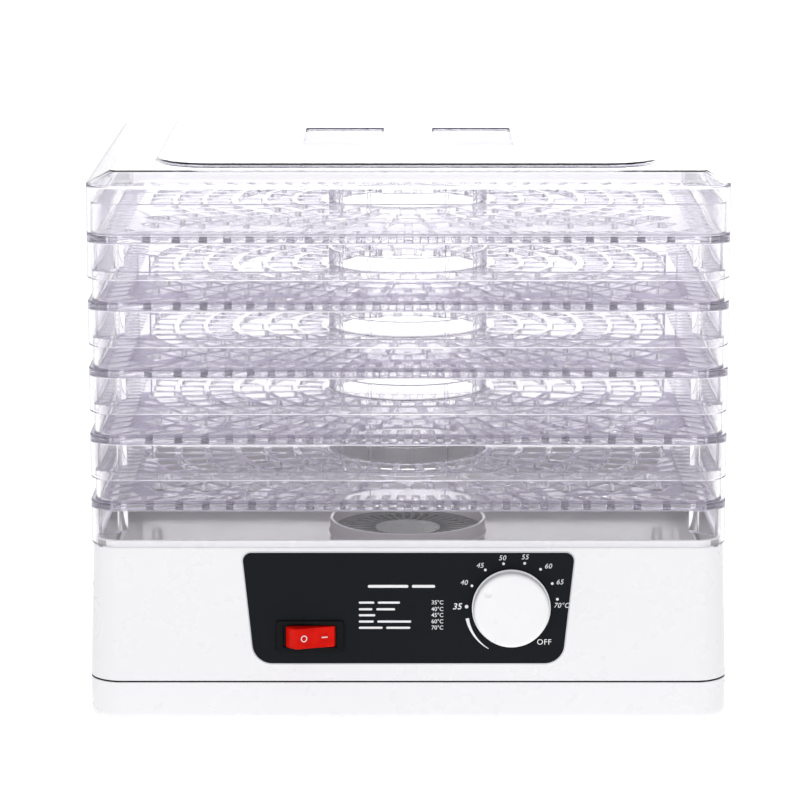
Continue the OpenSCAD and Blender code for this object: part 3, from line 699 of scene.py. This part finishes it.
# Knob
kb = mm("control_knob")
knob_x, knob_r, knob_h = (kb[0][0] + kb[1][0]) / 2, (kb[1][0] - kb[0][0]) / 2, 9.0
knob_m = on_face(knob_x, 63.0)
s = Solid()
k = knob_r
prof = soften([(3, 1.4, 0), (k - 0.4, 1.2, 0), (k, 1.45, 0.1), (k, 2.5, 0.25), (k - 0.55, 2.6, 0.1), (k - 1.0, knob_h, 1.7), (17.7, knob_h, 0)], 5)
ids = s.skin([circle(0, 0, r, z, 128) for r, z in prof])
s.cap(ids[0])
a = radians(143)
dx, dy = 15.2 * cos(a), 15.2 * sin(a)
dim = s.skin([circle(dx, dy, r, z, 28) for r, z in ((2.35, knob_h), (2.2, knob_h - 0.06), (2.0, knob_h - 0.25), (1.6, knob_h - 0.55), (1.05, knob_h - 0.8), (0.5, knob_h - 0.9))])
s.fan(dim[-1], (dx, dy, knob_h - 0.93))
s.cap(ids[-1], [dim[0]])
place("knob", s.mesh("knob", knob_m), KNOB, "knob", ("control_knob",))

# Switch: bezel with its well, and the rocker
SW = (-51.0, 48.0)
sw_m = on_face(*SW)
s = Solid()
prof = [((17.6 - i, 8.2 - i, 1.6 - i if i < 1 else 0.6), z) for i, z in ((0.2, 0.4), (0.0, 0.7), (0.0, 1.5), (0.15, 1.8), (0.5, 2.0))]
loops = [rrect(a[0], a[1], max(a[2], 0.5), z, 6) for a, z in prof]
loops += [rrect(14.35, 6.1, 0.7, 2.0, 6), rrect(14.1, 5.85, 0.5, 1.85, 6), rrect(13.95, 5.75, 0.5, 1.5, 6), rrect(13.95, 5.75, 0.5, -9.5, 6)]
ids = s.skin(loops)
s.cap(ids[-1])
back = s.skin([rrect(15, 6.5, 0.6, 0.4, 6), rrect(15, 6.5, 0.6, -16.6, 6), rrect(14.6, 6.1, 0.5, -17, 6)])
s.bridge(ids[0], back[0])
s.cap(back[-1])
place("switch_bezel", s.mesh("bezel", sw_m), BLACK, "base", ("switch_housing",))

ROCK, TILT = 13.6, 19


def rock_top(x):
    return 8.7 + 0.3 * (x / 10.2) ** 2


rock = [(x, rock_top(x)) for x in [10.2 - 20.4 * i / 16 for i in range(17)]]
rock += [(ROCK * cos(radians(q)), ROCK * sin(radians(q))) for q in range(139, 176, 4)]
rock += [(-4, -4.5), (4, -4.5)]
rock += [(ROCK * cos(radians(q)), ROCK * sin(radians(q))) for q in range(5, 42, 4)]


def rock_loop(shrink, y):
    c = Vector((0, 2))
    return [(x - shrink * (1 if x > 5 else -1 if x < -5 else x / 5), y, z - shrink * (1 if z > c.y else -0.5)) for x, z in rock]


tilt = Matrix.Translation((0, 0, -3.0)) @ Matrix.Rotation(radians(TILT), 4, "Y")
s = Solid()
s.tube([rock_loop(0.5, -5.45), rock_loop(0.15, -5.3), rock_loop(0, -4.95), rock_loop(0, 4.95), rock_loop(0.15, 5.3), rock_loop(0.5, 5.45)], axes=(0, 2))
place("rocker", s.mesh("rocker", sw_m @ tilt, 25), red_translucent(), "rocker", ("switch_rocker",))

# ---------------------------------------------------------------- printed marks

ink = Solid()


def flat(pts, z=0.405, h=0.03):
    ink.tube([[(x, y, z) for x, y in pts], [(x, y, z + h) for x, y in pts]])


def spot(x, y, r):
    flat([(x + r * cos(2 * pi * i / 24), y + r * sin(2 * pi * i / 24)) for i in range(24)])


def bar(x0, x1, y, h):
    n = max(1, int(round((x1 - x0) / 0.1)))
    r = h / 2
    flat([(x1 - r + r * cos(a), y + r * sin(a)) for a in [-pi / 2 + pi * i / 8 for i in range(9)]] +
         [(x0 + r - r * cos(a), y - r * sin(a)) for a in [-pi / 2 + pi * i / 8 for i in range(9)]])


texts = []


def text(body, x, y, size, angle=0.0, shear=0.0, bold=0.0, m=None, z=0.405, centre=True, spacing=1.0):
    cu = bpy.data.curves.new("mark", "FONT")
    cu.body = body
    cu.size = size
    cu.shear = shear
    cu.offset = bold
    cu.extrude = 0.015
    cu.space_character = spacing
    cu.align_x = "CENTER" if centre else "LEFT"
    cu.align_y = "CENTER"
    cu.resolution_u = 6
    ob = bpy.data.objects.new("mark", cu)
    bpy.context.scene.collection.objects.link(ob)
    bpy.context.view_layer.update()
    me = bpy.data.meshes.new_from_object(ob.evaluated_get(bpy.context.evaluated_depsgraph_get()))
    me.transform(Matrix.Translation((x, y, z + 0.015)) @ Matrix.Rotation(angle, 4, "Z"))
    if m is not None:
        me.transform(m)
    me.transform(Matrix.Scale(MM, 4))
    bpy.data.objects.remove(ob)
    texts.append(me)


PX = 0.5125  # mm on the face for a pixel of the printed layout


def dial(px, py):
    """Layout point, from the middle of the knob's seat."""
    return knob_x + (px - 514.0) * PX, (63.0 - PM) - (py - 608.3) * PX * 1.022


for i, (x, y) in enumerate(((468.9, 607.4), (474.2, 586.3), (487.7, 570.2), (506.1, 564.0), (527.4, 563.6), (543.5, 569.6), (555.4, 584.0), (560.7, 599.9))):
    spot(*dial(x, y), 0.95 if i == 0 else 0.72)
for b, x, y, q in (("35", 459.2, 607.4, 0), ("40", 466.1, 583.1, 0), ("45", 482.2, 565.9, 0), ("50", 504.7, 558.3, 0),
                   ("55", 527.6, 557.4, 0), ("60", 551.1, 566.6, 0), ("65", 563.0, 582.6, 0), ("70°C", 564.8, 606.3, 0)):
    X, Y = dial(x, y)
    text(b, X, Y, 4.6 if b == "35" else 3.7, radians(q), 0.22, 0.06 if b == "35" else 0.0, face0, spacing=1.05)
X, Y = dial(547.6, 643.5)
text("OFF", X, Y, 4.1, 0, 0.0, 0.0, face0, spacing=1.1)

# Tapered sweep from the lowest heat down to OFF
cx, cy = dial(514.0, 610.0)
n = 40
a0, a1 = radians(192), radians(241)
arc = []
for i in range(n + 1):
    q = a0 + (a1 - a0) * i / n
    arc.append((q, 24.0))
outer_pts = [(cx + (24.0 + 0.15) * cos(q), cy + (24.0 + 0.15) * sin(q)) for q, _ in arc]
inner_pts = [(cx + (24.0 - 1.5 * (1 - i / n) - 0.15) * cos(q), cy + (24.0 - 1.5 * (1 - i / n) - 0.15) * sin(q)) for i, (q, _) in enumerate(arc)]
flat(outer_pts + inner_pts[::-1])


def sheet(px, py):
    return (px - 411.0) * PX, (63.0 - PM) - (py - 608.3) * PX * 1.022


# Guide: a plain bar stands for each word, the temperatures stay
x0, y0 = sheet(370, 586.8)
x1, _ = sheet(411, 0)
bar(x0, x1, y0, 1.5)
x0, _ = sheet(414.5, 0)
x1, _ = sheet(438, 0)
bar(x0, x1, y0, 1.5)
for words, val, y in ((((360.8, 376.5), (380, 402.5)), "35°C", 603.3), (((360.8, 374.5), (378.5, 397.5)), "40°C", 610.0),
                      (((360.8, 377.5),), "45°C", 616.1), (((360.8, 376.0), (379.5, 413.9)), "60°C", 622.5),
                      (((360.8, 385.0), (388.5, 413.0)), "70°C", 628.8)):
    for a, b in words:
        xa, yy = sheet(a, y)
        xb, _ = sheet(b, y)
        bar(xa, xb, yy, 1.15)
    X, Y = sheet(440.4, y)
    text(val, X, Y, 3.0, 0, 0, 0.02, face0)

me = ink.mesh("marks", face0, 0)
bm = bmesh.new()
bm.from_mesh(me)
for t in texts:
    bm.from_mesh(t)
bm.to_mesh(me)
bm.free()
me.shade_flat()
place("panel_marks", me, INK, "base", weighted=False)

# Marks on the rocker, which tip with it
texts.clear()
ink = Solid()
rm = sw_m @ tilt


for cxr, kind in ((-6.2, "ring"), (5.0, "dash")):
    z = rock_top(cxr) + 0.02
    if kind == "ring":
        ids = ink.skin([[(x, y, rock_top(x) + q) for x, y, _ in circle(cxr, 0, r, 0, 40)] for r, q in
                        ((1.75, 0.02), (1.75, 0.06), (1.25, 0.06), (1.25, 0.02), (1.75, 0.02))])
    else:
        ink.tube([[(cxr + x, y, rock_top(cxr + x) + q) for x, y in ((-1.6, -0.32), (1.6, -0.32), (1.6, 0.32), (-1.6, 0.32))] for q in (0.02, 0.06)])
place("rocker_marks", ink.mesh("rocker_marks", rm, 0), INK, "rocker", weighted=False)

# Gland at the back
gb = mm("cord_gland")
gx, gzc = (gb[0][0] + gb[1][0]) / 2, (gb[0][2] + gb[1][2]) / 2
gm = Matrix.Translation((gx, HY, gzc)) @ Matrix.Rotation(-pi / 2, 4, "X")
s = Solid()
prof = soften([(3.6, -6.6, 0), (8, -6.6, 0.3), (8, -4.8, 0.3), (6, -4.8, 0), (6, 1.5, 0), (8.4, 1.5, 0), (8.4, 2.8, 0.5), (6.3, 3.5, 0.5), (5.5, 8.6, 0.7), (4.2, 8.6, 0.4), (3.6, 7.6, 0.3), (3.6, -6.6, 0)], 3)
s.skin([circle(0, 0, r, z, 64) for r, z in prof])
place("gland", s.mesh("gland", gm), BLACK, "base", ("cord_gland",))

# ---------------------------------------------------------------- stage, light, camera

floor_me = bpy.data.meshes.new("floor")
floor_me.from_pydata([(-6, -6, 0), (6, -6, 0), (6, 6, 0), (-6, 6, 0)], [], [(0, 1, 2, 3)])
floor = bpy.data.objects.new("floor", floor_me)
bpy.context.scene.collection.objects.link(floor)
FLOOR_MAT = moulded("floor_paper", (0.90, 0.90, 0.90), (0.92, 0.92, 0.92), 0.6, 0.05, 200.0, 0.05, spec=0.2)
FLOOR_MAT.node_tree.nodes["Principled BSDF"].inputs["Emission Color"].default_value = (1, 1, 1, 1)
FLOOR_MAT.node_tree.nodes["Principled BSDF"].inputs["Emission Strength"].default_value = 0.61
floor_me.materials.append(FLOOR_MAT)

world = bpy.data.worlds.new("studio")
bpy.context.scene.world = world
world.use_nodes = True
wt = world.node_tree
bg = wt.nodes["Background"]
tc = wt.nodes.new("ShaderNodeTexCoord")
sep = wt.nodes.new("ShaderNodeSeparateXYZ")
wt.links.new(tc.outputs["Generated"], sep.inputs[0])


def wmath(op, a, b=None, clamp=False):
    n = wt.nodes.new("ShaderNodeMath")
    n.operation = op
    n.use_clamp = clamp
    for i, v in enumerate((a, b)):
        if v is None:
            continue
        if isinstance(v, (int, float)):
            n.inputs[i].default_value = v
        else:
            wt.links.new(v, n.inputs[i])
    return n.outputs[0]


# White round the horizon, darker flags on the diagonals, a dimmer ceiling
diag = wmath("ABSOLUTE", wmath("MULTIPLY", wmath("MULTIPLY", sep.outputs["X"], sep.outputs["Y"]), 2.0))
flag = wmath("MULTIPLY", wmath("SUBTRACT", diag, 0.58), 4.5, clamp=True)
flag = wmath("MINIMUM", wmath("MAXIMUM", flag, 0.0), 1.0)
sky = wmath("MULTIPLY", wmath("SUBTRACT", sep.outputs["Z"], 0.30), 3.0)
sky = wmath("MINIMUM", wmath("MAXIMUM", sky, 0.0), 1.0)
lp = wt.nodes.new("ShaderNodeLightPath")
# Matt surfaces are lit by less of it than clear and glossy ones show, from an evener sky
shown = wmath("MAXIMUM", lp.outputs["Is Transmission Ray"], lp.outputs["Is Glossy Ray"])
ceiling = wmath("MULTIPLY", sky, wmath("ADD", 0.30, wmath("MULTIPLY", shown, 0.50)))
level = wmath("SUBTRACT", 1.0, wmath("ADD", wmath("MULTIPLY", flag, 0.85), ceiling))
level = wmath("MINIMUM", wmath("MAXIMUM", wmath("MAXIMUM", level, 0.0), lp.outputs["Is Camera Ray"]), 1.0)
tone = wt.nodes.new("ShaderNodeMix")
tone.data_type = "RGBA"
wt.links.new(level, tone.inputs[0])
tone.inputs[6].default_value = (0.10, 0.075, 0.17, 1)
tone.inputs[7].default_value = (1, 1, 1, 1)
wt.links.new(tone.outputs[2], bg.inputs["Color"])
gain = wmath("ADD", 0.66, wmath("MULTIPLY", wmath("MAXIMUM", shown, lp.outputs["Is Camera Ray"]), 0.42))
wt.links.new(gain, bg.inputs["Strength"])


def area(name, loc, aim, size, power, size_y=None):
    l = bpy.data.lights.new(name, "AREA")
    l.shape = "RECTANGLE"
    l.size, l.size_y = size, size_y or size
    l.energy = power
    ob = bpy.data.objects.new(name, l)
    bpy.context.scene.collection.objects.link(ob)
    ob.location = loc
    ob.rotation_euler = (Vector(aim) - Vector(loc)).to_track_quat("-Z", "Y").to_euler()
    return ob


area("key", (-0.75, -1.9, 0.75), (0, 0, 0.12), 0.9, 6)
area("fill", (0.85, -1.9, 0.65), (0, 0, 0.12), 0.9, 5)
area("top", (0, 0.1, 1.9), (0, 0, 0.1), 1.2, 4)
area("back", (0.2, 1.9, 0.8), (0, 0, 0.15), 1.2, 6)

cam = bpy.data.cameras.new("camera")
cam.sensor_width = 36.0
cam.lens = 3415.0 / 800 * 36.0
cam_ob = bpy.data.objects.new("camera", cam)
bpy.context.scene.collection.objects.link(cam_ob)
pitch = radians(11.35)
fwd = Vector((0, cos(pitch), -sin(pitch)))
target = Vector((-0.00435, -0.1425, 0.1757))
cam_ob.location = target - fwd * 1.75
cam_ob.rotation_euler = (pi / 2 - pitch, 0, 0)
cam.clip_start, cam.clip_end = 0.05, 50
bpy.context.scene.camera = cam_ob

sc = bpy.context.scene
sc.cycles.max_bounces = 40
sc.cycles.transmission_bounces = 40
sc.cycles.transparent_max_bounces = 48
sc.cycles.glossy_bounces = 12
sc.cycles.diffuse_bounces = 5
sc.view_settings.view_transform = "Standard"
sc.view_settings.look = "None"
